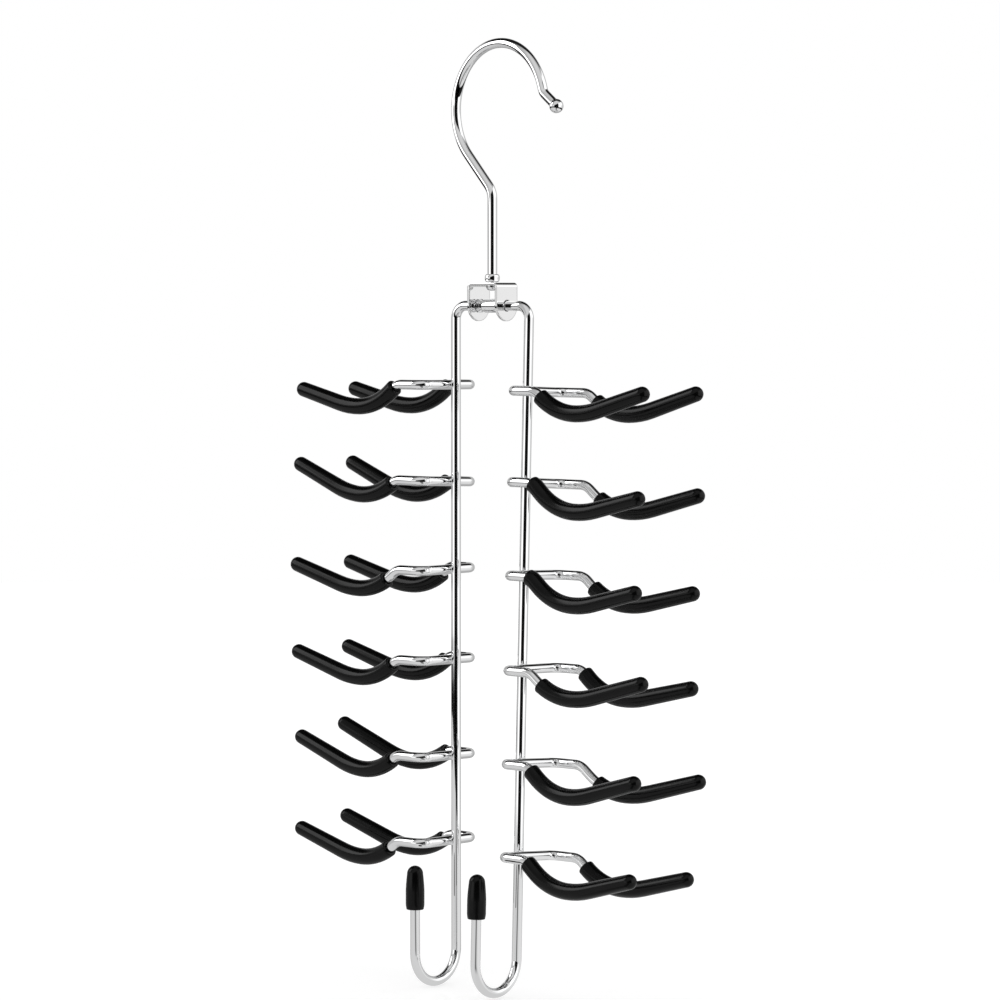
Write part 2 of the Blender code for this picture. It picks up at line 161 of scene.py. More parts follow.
FORKS = {
    "left": [
        Fork(-0.0010, -0.6, 0.0004, -0.0028, -1.5, -1.4, -0.0005, 0.0105, 0.0100),
        Fork(0.0010, -2.3, 0.0008, -0.0009, 6.0, 6.9, -0.0005, 0.0120, 0.0105),
        Fork(-0.0005, 0.0, 0.0004, 0.0007, 0.2, -0.3, 0.0, 0.0150, 0.0135),
        Fork(-0.0010, -0.8, 0.0003, 0.0012, 0.2, 0.8, -0.0010, 0.0120, 0.0115),
        Fork(0.0010, -1.2, 0.0, 0.0022, 3.0, 6.9, -0.0035, 0.0125, 0.0105),
        Fork(-0.0015, -0.5, 0.0, 0.0012, 0.2, 3.1, -0.0025, 0.0140, 0.0125),
    ],
    "right": [
        Fork(0.0010, -0.8, 0.0008, -0.0010, 0.7, 1.6, 0.0005, 0.0122, 0.0142),
        Fork(0.0001, -1.8, 0.0022, -0.0016, -2.4, -0.4, 0.0024, 0.0090, 0.0164),
        Fork(-0.0004, -0.6, 0.0015, -0.0022, -1.9, -2.6, 0.0020, 0.0081, 0.0145),
        Fork(-0.0002, 0.0, 0.0010, 0.0004, -0.3, -3.2, -0.0005, 0.0154, 0.0108),
        Fork(0.0002, -2.0, 0.0027, 0.0002, -0.2, -0.5, 0.0042, 0.0113, 0.0184),
        Fork(0.0001, -2.6, 0.0022, -0.0026, -1.0, -1.2, 0.0017, 0.0104, 0.0133),
    ],
}

# Places that follow from the sizes and the frame
BRACKET_TOP_Z = PIVOTS["hook_swivel"][2]
BAR_Z = PIVOTS["left_arm_swing"][2]
BAR_DROP = BRACKET_TOP_Z - BAR_Z
STEM_HOLE_R = HOOK_WIRE_R + GAP
ARM_HOLE_R = ARM_R + GAP
FOLD_R = FOLD_INNER_R + SHEET
LOOP_Z = -math.sqrt((LOOP_R - HOOK_WIRE_R) ** 2 - LOOP_SHIFT**2)
SHOULDER_Z = LOOP_Z - LOOP_R - SHOULDER_BELOW
ARM_X = BRACKET_X / 2 + ARM_STANDOFF
ARM_DROP = FIRST_ROW_DROP + (len(FORKS["left"]) - 1) * ROW_PITCH + LAST_ROW_TO_FOOT
FORK_X = ARM_X + ARM_R + FORK_R + GAP
BEND_X = FORK_CORNER_R + PRONG_LEVEL
FLOOR_Z = SOLID_BOX[0][2] - FLOOR_GAP

# Fineness
SIDES = 40  # round a wire or a sleeve
BEND_STEP = math.radians(4.0)  # from one ring to the next round a bend
POLE_GAP = math.radians(2.0)  # a round end's last ring stands this far short of its pole
STEM_STEPS = 16  # these are rings along straight runs
ARM_STEPS = 60
SHORT_LEG_STEPS = 16
BASE_BAR_STEPS = 24
TIP_STEPS = 12
MOUTH_STEPS = 8
BALL_RINGS = 24  # and these along everything else that isn't a bend
RIVET_RINGS = 12
COLLAR_RINGS = 33
COUPLING_RINGS = 90
DOME_RINGS = 16
LIP_RINGS = 6
CAP_SIDE_RINGS = 24
WELD_RINGS = 20
PLATE_ROWS = 8  # from a hole's edge to its plate's edge
PLATE_CROWDING = 1.3  # a power: above 1, those rows crowd towards the hole
EDGE_STEPS = 24  # along a straight edge of the bracket
LEG_STEPS = 12
ROUND_STEPS = 48
FOLD_ROWS = 9
EASE_SEGMENTS = 3
EASE_FROM = math.radians(50.0)  # edges of the sheet that turn more than this are eased
FLAT_WEIGHT = 80  # how strongly the sheet's flat faces keep their shading flat, of 100
TABLE_RINGS = 40
TABLE_SIDES = 96
PANEL_COLUMNS, PANEL_ROWS = 9, 17
SHARP_FROM = math.radians(40.0)  # faces that meet more steeply than this meet in a sharp edge
ALONG_Y = 0.8  # a path starts along Y if more than this share of its first step is along Y
SAME_PLACE = 1e-6  # metres within which two places count as one
MERGE_DIGITS = 7  # places that agree in this many decimals of a metre are one vertex

# Camera
CAMERA_AZIMUTH = math.radians(41.7)
CAMERA_ELEVATION = math.radians(2.9)
CAMERA_DISTANCE = 1.700
CAMERA_AIM = Vector((0.0, 0.0, -0.1832))
SENSOR = 36.0
PICTURE_PX = 1000
FOCAL_PX = 4165.0  # focal length in pixels of that picture
SHIFT_PX = 7.7  # the picture's middle stands this far beside the aim

# Directions: up, and level ones out to the camera and to the picture's right
UP = np.array([0.0, 0.0, 1.0])
TOWARDS = np.array([math.sin(CAMERA_AZIMUTH), -math.cos(CAMERA_AZIMUTH), 0.0])
BESIDE = np.array([math.cos(CAMERA_AZIMUTH), math.sin(CAMERA_AZIMUTH), 0.0])


# Paths


def unit(v):
    """A vector of length 1 that points the same way."""
    v = np.asarray(v, float)
    return v / np.linalg.norm(v)


def steps_for(sweep):
    """How many steps a bend of this angle is divided into."""
    return max(2, math.ceil(abs(sweep) / BEND_STEP))


def fillet(before, corner, after, radius):
    """The arc that rounds a corner of a path, on the circle that touches both straight runs: point = centre
    + (sin of the part left times the way to the first touching point + sin of the part swept times the way
    to the last one) / sin of the whole sweep."""
    before, corner, after = (np.asarray(p, float) for p in (before, corner, after))
    back, on = unit(before - corner), unit(after - corner)
    half = math.acos(float(np.clip(back @ on, -1, 1))) / 2
    centre = corner + unit(back + on) * radius / math.sin(half)
    first = corner + back * radius / math.tan(half) - centre
    last = corner + on * radius / math.tan(half) - centre
    sweep = math.pi - 2 * half
    t = np.linspace(0, sweep, steps_for(sweep) + 1)[:, None]
    return centre + (np.sin(sweep - t) * first + np.sin(t) * last) / math.sin(sweep)


def straight(a, b, steps):
    """Points spread evenly from one point to another, both left out."""
    t = np.linspace(0, 1, steps + 1)[1:-1, None]
    return np.asarray(a, float) * (1 - t) + np.asarray(b, float) * t


def distances(path):
    """How far along the path each of its points lies."""
    return np.concatenate([[0.0], np.cumsum(np.linalg.norm(np.diff(path, axis=0), axis=1))])


def shortened(path, length):
    """A path with its end cut back by a length, within its last straight run."""
    along = distances(path)
    kept = path[along < along[-1] - length - SAME_PLACE]
    return np.vstack([kept, path[-1] - unit(path[-1] - path[-2]) * length])


def turned(points, axis, angle):
    """Points turned about an axis through the origin, 0 for X, 1 for Y and 2 for Z. Of their two other
    parts, one becomes one cos a - other sin a, and the other becomes one sin a + other cos a."""
    a, b = [k for k in range(3) if k != axis]
    moved = np.array(points, float)
    moved[..., a] = points[..., a] * math.cos(angle) - points[..., b] * math.sin(angle)
    moved[..., b] = points[..., a] * math.sin(angle) + points[..., b] * math.cos(angle)
    return moved


# Surfaces


def carried(path):
    """Two unit vectors square to the path at each point. The first starts as near to Y as it can, or to X
    where the path starts along Y, and each later one is the one before with its part along the path taken
    off, so that nothing twists. The second is square to both path and first."""
    runs = np.diff(path, axis=0)
    runs /= np.linalg.norm(runs, axis=1, keepdims=True)
    ahead = np.vstack([runs[:1], runs[:-1] + runs[1:], runs[-1:]])
    ahead /= np.linalg.norm(ahead, axis=1, keepdims=True)
    side = np.array([1.0, 0.0, 0.0]) if abs(ahead[0, 1]) > ALONG_Y else np.array([0.0, 1.0, 0.0])
    first = np.empty_like(path)
    for k, along in enumerate(ahead):
        side = unit(side - along * (side @ along))
        first[k] = side
    return first, np.cross(ahead, first)


def tube(path, radii):
    """A circle carried along a path: point = centre + radius (first cos a + second sin a), with a going
    round, and first and second square to the path."""
    path = np.asarray(path, float)
    first, second = carried(path)
    a = np.linspace(0, 2 * math.pi, SIDES, endpoint=False)[None, :, None]
    rim = np.cos(a) * first[:, None] + np.sin(a) * second[:, None]
    return path[:, None] + np.broadcast_to(radii, len(path))[:, None, None] * rim


def turned_body(heights, radii, sides=SIDES):
    """A profile turned about Z: point = (radius cos a, radius sin a, height)."""
    a = np.linspace(0, 2 * math.pi, sides, endpoint=False)
    flat = np.stack([np.outer(radii, np.cos(a)), np.outer(radii, np.sin(a))], axis=-1)
    return np.dstack([flat, np.repeat(np.asarray(heights, float)[:, None], sides, axis=1)])


def grid_faces(rows, columns, rows_join, columns_join):
    """Squares between neighbouring points of a grid, joined round where asked."""
    index = np.arange(rows * columns).reshape(rows, columns)
    if rows_join:
        index = np.vstack([index, index[:1]])
    if columns_join:
        index = np.hstack([index, index[:, :1]])
    corners = [index[:-1, :-1], index[:-1, 1:], index[1:, 1:], index[1:, :-1]]
    return np.stack(corners, axis=-1).reshape(-1, 4)


def fan(ring, middle):
    """Triangles from each two neighbouring points of a ring to the point in its middle."""
    return np.stack([ring, np.roll(ring, -1), np.full(len(ring), middle)], axis=1)


def add_mesh(name, points, squares, triangles=()):
    """Puts points and faces into a new object with smooth shading, sharp where two faces meet steeply."""
    faces = squares.tolist() + np.asarray(triangles, int).reshape(-1, 3).tolist()
    data = bpy.data.meshes.new(name)
    data.from_pydata(points.tolist(), [], faces)
    data.shade_smooth()
    data.set_sharp_from_angle(angle=SHARP_FROM)
    made = bpy.data.objects.new(name, data)
    bpy.context.scene.collection.objects.link(made)
    return made


def add_body(name, grid, ring=False):
    """A closed body over a grid whose rows go round it: its last row joins its first, or else each end row
    is closed by triangles to its middle."""
    rows, columns = grid.shape[:2]
    points = grid.reshape(-1, 3)
    squares = grid_faces(rows, columns, ring, True)
    if ring:
        return add_mesh(name, points, squares)
    first_row = np.arange(columns)
    last_row = first_row + (rows - 1) * columns
    first_fan = fan(first_row, len(points))[:, [1, 0, 2]]
    last_fan = fan(last_row, len(points) + 1)
    points = np.vstack([points, grid[0].mean(0), grid[-1].mean(0)])
    return add_mesh(name, points, squares, np.vstack([first_fan, last_fan]))


def dress(piece, body, slot, *nodes):
    """Puts a piece on its moving body, in place of its solids, with the look of its material slot."""
    piece.data.materials.append(LOOKS[slot])
    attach(piece, body)
    if nodes:
        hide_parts(*nodes)


# Hook and collar


def hook_path():
    """Centreline of the hook from the stem's foot to where its lip runs straight, and the ball's middle.
    The loop is a circle round (shift, 0, height), which the slanting run meets without a corner, and the
    corners at the shoulder and the lip are rounded."""

    def round_the_loop(turn):
        """Point = middle + radius (cos turn, 0, sin turn)."""
        turn = np.atleast_1d(turn)
        return np.stack(
            [LOOP_SHIFT + LOOP_R * np.cos(turn), 0 * turn, LOOP_Z + LOOP_R * np.sin(turn)], axis=1
        )

    shoulder = np.array([0.0, 0.0, SHOULDER_Z])
    foot = np.array([0.0, 0.0, BRACKET_TOP_Z - SHEET - GAP])
    shoulder_drop = LOOP_Z - SHOULDER_Z
    from_centre = math.atan2(-shoulder_drop, -LOOP_SHIFT) % (2 * math.pi)
    loop_start = from_centre - math.acos(LOOP_R / math.hypot(LOOP_SHIFT, shoulder_drop))
    lip_turn = math.pi / 2 - LOOP_END - LIP_SLOPE
    loop_end = LOOP_END + LIP_FILLET * math.tan(lip_turn / 2) / LOOP_R
    lip_corner = round_the_loop(LOOP_END)[0]
    ball = lip_corner + LIP_LENGTH * np.array([math.cos(LIP_SLOPE), 0.0, -math.sin(LIP_SLOPE)])
    above_corner = lip_corner + np.array([-math.sin(LOOP_END), 0.0, math.cos(LOOP_END)])
    bend = fillet(foot, shoulder, round_the_loop(loop_start)[0], SHOULDER_FILLET)
    turns = np.linspace(loop_start, loop_end, steps_for(loop_end - loop_start) + 1)
    path = np.vstack(
        [
            foot,
            straight(foot, bend[0], STEM_STEPS),
            bend,
            round_the_loop(turns),
            fillet(above_corner, lip_corner, ball, LIP_FILLET)[1:],
        ]
    )
    return path, ball


def make_hook():
    """The hook wire: a circle carried along its path, a ball of rings about the lip's end, and a head like
    a low dome below the bracket's top plate, with its radius by a power of the sine and its depth by the
    cosine."""
    path, ball = hook_path()
    on = unit(ball - path[-1])
    ball_r = HOOK_WIRE_R + BALL_OVERSIZE
    neck = math.asin(HOOK_WIRE_R / ball_r)
    t = np.linspace(neck, math.pi - POLE_GAP, BALL_RINGS)
    ball_line = ball - on * ball_r * np.cos(t)[:, None]
    head_r = HOOK_WIRE_R + RIVET_OVERHANG
    dome = np.linspace(2 * POLE_GAP, math.pi / 2, RIVET_RINGS)
    head_line = path[0] - UP * RIVET_H * np.cos(dome)[:, None]
    line = np.vstack([head_line, path[0] + UP * RIVET_SIDE, path[0] + UP * GAP, path[1:], ball_line])
    radii = np.concatenate(
        [
            head_r * np.sin(dome) ** RIVET_FULLNESS,
            [head_r],
            np.full(len(path), HOOK_WIRE_R),
            ball_r * np.sin(t),
        ]
    )
    hook = add_body("hook_wire_chromed", turned(tube(line, radii), 2, HOOK_TURN))
    dress(hook, "hook", "chrome", "hook_wire")


def make_collar():
    """The bead on the stem: an outline whose width is a power of the cosine and whose height is the sine,
    widest at its middle, turned about Z."""
    t = np.linspace(-COLLAR_SPAN, COLLAR_SPAN, COLLAR_RINGS)
    outer = STEM_HOLE_R + COLLAR_WALL * np.cos(t) ** COLLAR_FULLNESS
    heights = BRACKET_TOP_Z + GAP + COLLAR_H * (1 + np.sin(t)) / 2
    grid = turned_body([*heights, heights[-1], heights[0]], [*outer, STEM_HOLE_R, STEM_HOLE_R])
    dress(add_body("stem_collar_bead", grid, ring=True), "hook", "chrome", "stem_collar")


# Bracket and coupling


def plate_with_hole(rim, centre, hole_r):
    """Flat points between a round hole and an outline: on each ray from the hole's middle, from the hole's
    edge to the outline's point. All are given as (across, up)."""
    rays = rim - centre
    reach = np.linalg.norm(rays, axis=1, keepdims=True)
    near = centre + rays / reach * hole_r
    t = np.linspace(0, 1, PLATE_ROWS + 1)[:, None, None] ** PLATE_CROWDING
    return near * (1 - t) + rim * t


def between(a, b, steps):
    """Numbers spread evenly from a up to b, b left out."""
    return np.linspace(a, b, steps, endpoint=False)


def flat_line(across, up):
    """Flat points from two rows of numbers, or from one row and a number that stays the same along it."""
    return np.stack(np.broadcast_arrays(across, up), axis=1)


def make_bracket():
    """The outer skin of the folded sheet, thickened inwards and with its edges eased: two plates with round
    ends, a top, and quarter-round folds between them, whose points are corner + radius (cos a, sin a)."""
    side, half = BRACKET_X / 2, BRACKET_Y / 2
    wide, fold_foot = side - FOLD_R, -FOLD_R
    x_up = between(-wide, wide, EDGE_STEPS)
    y_up = between(-half, half, EDGE_STEPS)
    turn = between(0, math.pi, ROUND_STEPS)
    plate_rim = np.concatenate(
        [
            flat_line(-y_up, fold_foot),
            flat_line(-half, between(fold_foot, -ROUND_DROP, LEG_STEPS)),
            flat_line(-half * np.cos(turn), -ROUND_DROP - half * np.sin(turn)),
            flat_line(half, between(-ROUND_DROP, fold_foot, LEG_STEPS)),
        ]
    )
    top_rim = np.concatenate(
        [
            flat_line(x_up, -half),
            flat_line(wide, y_up),
            flat_line(-x_up, half),
            flat_line(-wide, -y_up),
        ]
    )
    plate = np.insert(plate_with_hole(plate_rim, np.array([0.0, -BAR_DROP]), ARM_HOLE_R), 0, side, axis=-1)
    top = np.insert(plate_with_hole(top_rim, np.array([0.0, 0.0]), STEM_HOLE_R), 2, 0.0, axis=-1)
    fold_turn = np.linspace(0, math.pi / 2, FOLD_ROWS)[:, None]
    fold_x = wide + FOLD_R * np.cos(fold_turn)
    fold_y = np.linspace(-half, half, EDGE_STEPS + 1)[None, :]
    fold_z = FOLD_R * (np.sin(fold_turn) - 1)
    fold = np.stack(np.broadcast_arrays(fold_x, fold_y, fold_z), axis=-1)

    mirror = np.array([-1.0, 1.0, 1.0])
    patches = [  # each with whether its rows close on themselves and whether its faces are turned over
        (plate, True, True),
        (plate * mirror, True, False),
        (top, True, True),
        (fold, False, False),
        (fold * mirror, False, True),
    ]
    points, squares = [], []
    count = 0
    for grid, joins, flipped in patches:
        faces = grid_faces(*grid.shape[:2], False, joins) + count
        squares.append(faces[:, ::-1] if flipped else faces)
        points.append(grid.reshape(-1, 3))
        count += grid.shape[0] * grid.shape[1]
    points = np.vstack(points) + UP * BRACKET_TOP_Z
    same = np.round(points, MERGE_DIGITS) + 0.0  # adding 0.0 turns minus zero into zero
    _, first, where = np.unique(same, axis=0, return_index=True, return_inverse=True)
    bracket = add_mesh("bracket_sheet", points[first], where.reshape(-1)[np.vstack(squares)])
    wall = bracket.modifiers.new("thickness", "SOLIDIFY")
    wall.thickness = SHEET
    wall.offset = -1
    wall.use_even_offset = True
    ease = bracket.modifiers.new("eased edges", "BEVEL")
    ease.width = SHEET_EDGE_R
    ease.segments = EASE_SEGMENTS
    ease.limit_method = "ANGLE"
    ease.angle_limit = EASE_FROM
    level = bracket.modifiers.new("flat faces", "WEIGHTED_NORMAL")
    level.weight = FLAT_WEIGHT
    dress(bracket, "bracket", "nickel_plate", "bracket")


def groove_depth(x):
    """How deep the crimped necks are at a place along the bar: full within half their width of the neck's
    middle, and falling off like a half wave on both sides."""
    off = np.clip((np.abs(np.abs(x) - GROOVE_AT) - GROOVE_W / 2) / GROOVE_DEPTH, 0, 1)
    return GROOVE_DEPTH * (1 + np.cos(math.pi * off)) / 2


def make_coupling():
    """The sleeve between the plates: a thin wall that follows the crimped necks, turned about the bar."""
    half = BRACKET_X / 2 - SHEET - GAP
    x = np.linspace(-half, half, COUPLING_RINGS)
    bore = ARM_HOLE_R - groove_depth(x)
    line = np.stack([x, 0 * x, 0 * x + BAR_Z], axis=1)
    outside = tube(line, bore + COUPLING_WALL)
    grid = np.concatenate([outside, tube(line, bore)[::-1]])
    dress(add_body("arm_coupling_crimped", grid, ring=True), "bracket", "chrome", "arm_coupling")


# Arms


def on_arm(points, side):
    """Points in an arm's own axes, put where that arm hangs."""
    return turned(points, 0, SWINGS[side]) + (0.0, 0.0, BAR_Z)


def make_arm(side):
    """The hanging wire: a circle carried from its end in the coupling round the bend, down, and round the
    belt hook to the top of its short leg. With it comes the cap on that leg."""
    sign = SIGNS[side]
    x = sign * ARM_X
    foot_z = -ARM_DROP + BELT_HOOK_R
    leg_y = -2 * BELT_HOOK_R
    leg_top = foot_z + SHORT_LEG
    turns = np.linspace(0, math.pi, steps_for(math.pi) + 1)
    belt_hook = np.stack(
        [x + 0 * turns, BELT_HOOK_R * (np.cos(turns) - 1), foot_z - BELT_HOOK_R * np.sin(turns)], axis=1
    )
    start = np.array([sign * ARM_END_GAP / 2, 0.0, 0.0])
    corner = np.array([x, 0.0, 0.0])
    bend = fillet(start, corner, belt_hook[0], ARM_BEND_R)
    end = np.array([x, leg_y, leg_top])
    path = np.vstack(
        [
            start,
            straight(start, bend[0], ARM_STEPS),
            bend,
            straight(bend[-1], belt_hook[0], ARM_STEPS),
            belt_hook,
            straight(belt_hook[-1], end, SHORT_LEG_STEPS),
            end,
        ]
    )
    near_bar = np.abs(path[:, 2]) < SAME_PLACE
    radii = ARM_R - np.where(near_bar, groove_depth(path[:, 0]), 0.0)
    arm = add_body(f"{side}_arm_wire_chromed", on_arm(tube(path, radii), side))
    dress(arm, f"{side}_arm", "chrome", f"{side}_arm_wire")

    cap = add_body(f"{side}_foot_cap_black", on_arm(cap_grid() + (x, leg_y, leg_top + GAP), side))
    dress(cap, f"{side}_arm", "black_pvc", f"{side}_foot_cap")


def cap_grid():
    """A blind cap like a small bullet, turned about Z: bore, mouth, a side that swells by a sine to its
    full width and slims again by a power of the height, and a round top. Heights are counted from the top
    of its bore."""
    mouth_z = CAP_END_WALL - CAP_LENGTH
    outer_r = ARM_HOLE_R + CAP_WALL
    top_r = outer_r - CAP_TAPER
    round_z = CAP_END_WALL - top_r
    lip = np.linspace(0, math.pi / 2, LIP_RINGS)
    s = np.linspace(0, 1, CAP_SIDE_RINGS)[1:]
    swell = np.clip(s * (round_z - mouth_z) / CAP_SWELL, 0, 1)
    slim = np.clip((s - CAP_SLIMS_FROM) / (1 - CAP_SLIMS_FROM), 0, 1) ** CAP_SLIM_POWER
    dome = np.linspace(0, math.pi / 2 - POLE_GAP, DOME_RINGS)[1:]
    foot_r = outer_r - CAP_TAPER / 2
    heights = np.concatenate(
        [
            [0.0, mouth_z],
            mouth_z + CAP_LIP * (1 - np.cos(lip)),
            mouth_z + CAP_LIP + s * (round_z - mouth_z - CAP_LIP),
            round_z + top_r * np.sin(dome),
        ]
    )
    radii = np.concatenate(
        [
            [ARM_HOLE_R, ARM_HOLE_R],
            foot_r - CAP_LIP * (1 - np.sin(lip)),
            foot_r + (outer_r - foot_r) * np.sin(swell * math.pi / 2) - CAP_TAPER * slim,
            top_r * np.cos(dome),
        ]
    )
    return turned_body(heights, radii)


# Forks


def prong_line(made, raised, y):
    """Centreline of one prong from the start of its bend to its sleeve's end: an arc down, a straight
    slant, an arc through the dip and a wider one up, and a straight run to the tip. All but the first arc
    is turned up by some degrees at the bend, and the tip stands off its corner's side by the splay."""
    slant, run = PRONG_SLANT + made.deeper, PRONG_TIP_RUN + made.reach
    up = math.radians(raised)
    bend_end = PRONG_BEND_R * np.array([math.sin(PRONG_FALL), math.cos(PRONG_FALL) - 1])
    dip = bend_end + slant * np.array([math.cos(PRONG_FALL), -math.sin(PRONG_FALL)])
    dip += DIP_R * np.array([math.sin(PRONG_FALL), math.cos(PRONG_FALL) - 1])
    fall = np.linspace(-PRONG_FALL, 0, steps_for(PRONG_FALL) + 1)
    rise = np.linspace(0, PRONG_RISE, steps_for(PRONG_RISE) + 1)[1:]
    falling = dip + DIP_R * np.stack([np.sin(fall), 1 - np.cos(fall)], axis=1)
    rising = dip + RISE_R * np.stack([np.sin(rise), 1 - np.cos(rise)], axis=1)
    tip = rising[-1] + run * np.array([math.cos(PRONG_RISE), math.sin(PRONG_RISE)])
    rest = np.vstack([bend_end, falling, rising, straight(rising[-1], tip, TIP_STEPS), tip])
    out = made.splay * np.sign(y) / tip[0]
    rest = np.stack([rest[:, 0], y + out * rest[:, 0], rest[:, 1]], axis=1)
    rest = turned(rest, 1, up)
    t = np.linspace(0, PRONG_FALL - up, steps_for(PRONG_FALL) + 1)[:-1]
    ease = PRONG_BEND_R * np.stack([np.sin(t), 0 * t, np.cos(t) - 1], axis=1)
    last = PRONG_BEND_R * np.array([math.sin(PRONG_FALL - up), 0.0, math.cos(PRONG_FALL - up) - 1])
    bend = rest[0] - last + ease
    bend[:, 1] = y + (bend[:, 0] / rest[0, 0]) * (rest[0, 1] - y)
    return np.vstack([bend, rest]) + (BEND_X, 0.0, 0.0)


def place_fork(grid, side, row):
    """A fork's own axes put on its arm: leant, and for a left fork turned round."""
    sign = SIGNS[side]
    made = FORKS[side][row]
    grid = turned(grid, 0, sign * math.radians(made.lean))
    if sign < 0:
        grid = grid * (-1.0, -1.0, 1.0)
    drop = FIRST_ROW_DROP + row * ROW_PITCH + made.lower
    return on_arm(grid + (sign * FORK_X, 0.0, -drop), side)


def fork_tube(front, back):
    """A circle carried along the staple: from one prong's wire end along the base bar to the other's."""
    cut_back = SLEEVE_END_WALL + GAP
    corners = [np.array([0.0, line[0, 1], 0.0]) for line in (back, front)]
    first = fillet(back[0], corners[0], corners[1], FORK_CORNER_R)
    second = fillet(corners[0], corners[1], front[0], FORK_CORNER_R)
    path = [shortened(back, cut_back)[::-1], first, straight(first[-1], second[0], BASE_BAR_STEPS), second]
    return tube(np.vstack([*path, shortened(front, cut_back)]), FORK_R)


def sleeve_grid(line, start):
    """A blind tube over one prong: the bore from its closed end to the mouth, a rounded lip, the outside,
    which slims evenly along the tip's straight run, and a half ball at the tip."""
    level = np.array([FORK_CORNER_R, line[0, 1], line[0, 2]])
    line = np.vstack([level, straight(level, line[0], MOUTH_STEPS), line])
    mouth = [start, np.interp(start, line[:, 0], line[:, 1]), np.interp(start, line[:, 0], line[:, 2])]
    line = np.vstack([mouth, line[line[:, 0] > start + SLEEVE_LIP_CLEAR]])
    bore_r = FORK_R + GAP
    outer_r = bore_r + SLEEVE_WALL
    end_r = outer_r - SLEEVE_TAPER
    bulk = shortened(line, end_r)
    on = unit(line[-1] - line[-2])
    t = np.linspace(0, math.pi / 2 - POLE_GAP, DOME_RINGS)[1:]
    tip = bulk[-1] + on * end_r * np.sin(t)[:, None]
    lip = np.linspace(0, math.pi / 2, LIP_RINGS)
    lip_line = line[0] + unit(line[1] - line[0]) * SLEEVE_LIP * (1 - np.cos(lip))[:, None]
    along = distances(bulk)[1:]
    taper = np.clip((along - along[-1] + PRONG_TIP_RUN) / PRONG_TIP_RUN, 0, 1)
    lip_r = outer_r - SLEEVE_LIP * (1 - np.sin(lip))
    radii = [lip_r, outer_r - SLEEVE_TAPER * taper, end_r * np.cos(t)]
    outside = tube(np.vstack([lip_line, bulk[1:], tip]), np.concatenate(radii))
    inside = tube(shortened(line, SLEEVE_END_WALL), bore_r)
    return np.concatenate([inside[::-1], outside])


def weld_grid():
    """A small bead between arm wire and base bar: a ball stretched to its three half sizes."""
    t = np.linspace(POLE_GAP - math.pi / 2, math.pi / 2 - POLE_GAP, WELD_RINGS)
    return turned_body(np.sin(t), np.cos(t)) * WELD_SIZE + (-FORK_R - GAP / 2, 0.0, 0.0)


def make_forks(side):
    """The six forks of one arm with their welds and sleeves."""
    sign = SIGNS[side]
    for row, made in enumerate(FORKS[side]):
        front_y = -sign * FORK_HALF_WIDTH
        front = prong_line(made, made.front_raise, front_y)
        back = prong_line(made, made.back_raise, -front_y)
        name = f"{side}_fork_{row + 1}"
        fork = add_body(f"{name}_chromed", place_fork(fork_tube(front, back), side, row))
        dress(fork, f"{side}_arm", "chrome", name)
        weld = add_body(f"{name}_weld", place_fork(weld_grid(), side, row))
        dress(weld, f"{side}_arm", "chrome")
        for place, line, start in (("front", front, made.front_start), ("back", back, made.back_start)):
            grid = place_fork(sleeve_grid(line, FORK_CORNER_R + start), side, row)
            sleeve = add_body(f"{name}_{place}_sleeve_black", grid)
            dress(sleeve, f"{side}_arm", "black_pvc", f"{name}_{place}_sleeve")


# Looks


class Haze(NamedTuple):
    """Noise over a surface, and how it is stretched to the surface's roughness."""

    scale: float
    detail: float
    low: float  # noise that gives the least roughness
    high: float  # noise that gives the most
    least: float
    most: float


class Skin(NamedTuple):
    """Noise over a surface that stands up in fine bumps."""

    scale: float
    detail: float
    strength: float
    depth: float


# Colours, roughness and bumps of the looks
WHITE = (1.0, 1.0, 1.0, 1.0)
CHROME = (0.95, 0.953, 0.957, 1.0)
CHROME_HAZE = Haze(140.0, 3.0, 0.35, 0.7, 0.02, 0.05)
CHROME_SKIN = Skin(90.0, 1.0, 0.15, 0.0001)
PLATE = (0.94, 0.94, 0.94, 1.0)
PLATE_HAZE = Haze(300.0, 4.0, 0.3, 0.7, 0.03, 0.09)
PLATE_SKIN = Skin(120.0, 2.0, 0.1, 0.0001)
PVC_COLOURS = ((0.0008, 0.0008, 0.0008, 1.0), (0.0024, 0.0024, 0.0024, 1.0))
PVC_SHINE = 0.18  # 0.5 is a plain plastic's
PVC_HAZE = Haze(180.0, 3.0, 0.3, 0.7, 0.15, 0.22)
PVC_SKIN = Skin(1400.0, 3.0, 0.2, 0.00005)


def add_node(tree, kind, **settings):
    """A shader node with its settings. What feeds it stands in a dict called inputs, by input name."""
    made = tree.nodes.new(kind)
    for name, value in settings.pop("inputs", {}).items():
        if isinstance(value, bpy.types.NodeSocket):
            tree.links.new(value, made.inputs[name])
        else:
            made.inputs[name].default_value = value
    for name, value in settings.items():
        setattr(made, name, value)
    return made


def ranged(tree, value, low, high, to_low, to_high, smooth=False):
    """A value stretched from one range to another and held at its ends."""
    kind = "SMOOTHSTEP" if smooth else "LINEAR"
    made = add_node(
        tree,
        "ShaderNodeMapRange",
        interpolation_type=kind,
        inputs={
            "Value": value,
            "From Min": low,
            "From Max": high,
            "To Min": to_low,
            "To Max": to_high,
        },
    )
    return made.outputs["Result"]


def new_look(name):
    """A new material, its nodes, its shader, and the place on the piece."""
    made = bpy.data.materials.new(name)
    made.use_nodes = True
    tree = made.node_tree
    shader = tree.nodes["Principled BSDF"]
    place = tree.nodes.new("ShaderNodeTexCoord").outputs["Object"]
    return made, tree, shader, place


def noise(tree, place, scale, detail):
    """Cloudy noise between 0 and 1, by the place."""
    made = add_node(tree, "ShaderNodeTexNoise", inputs={"Vector": place, "Scale": scale, "Detail": detail})
    return made.outputs["Fac"]


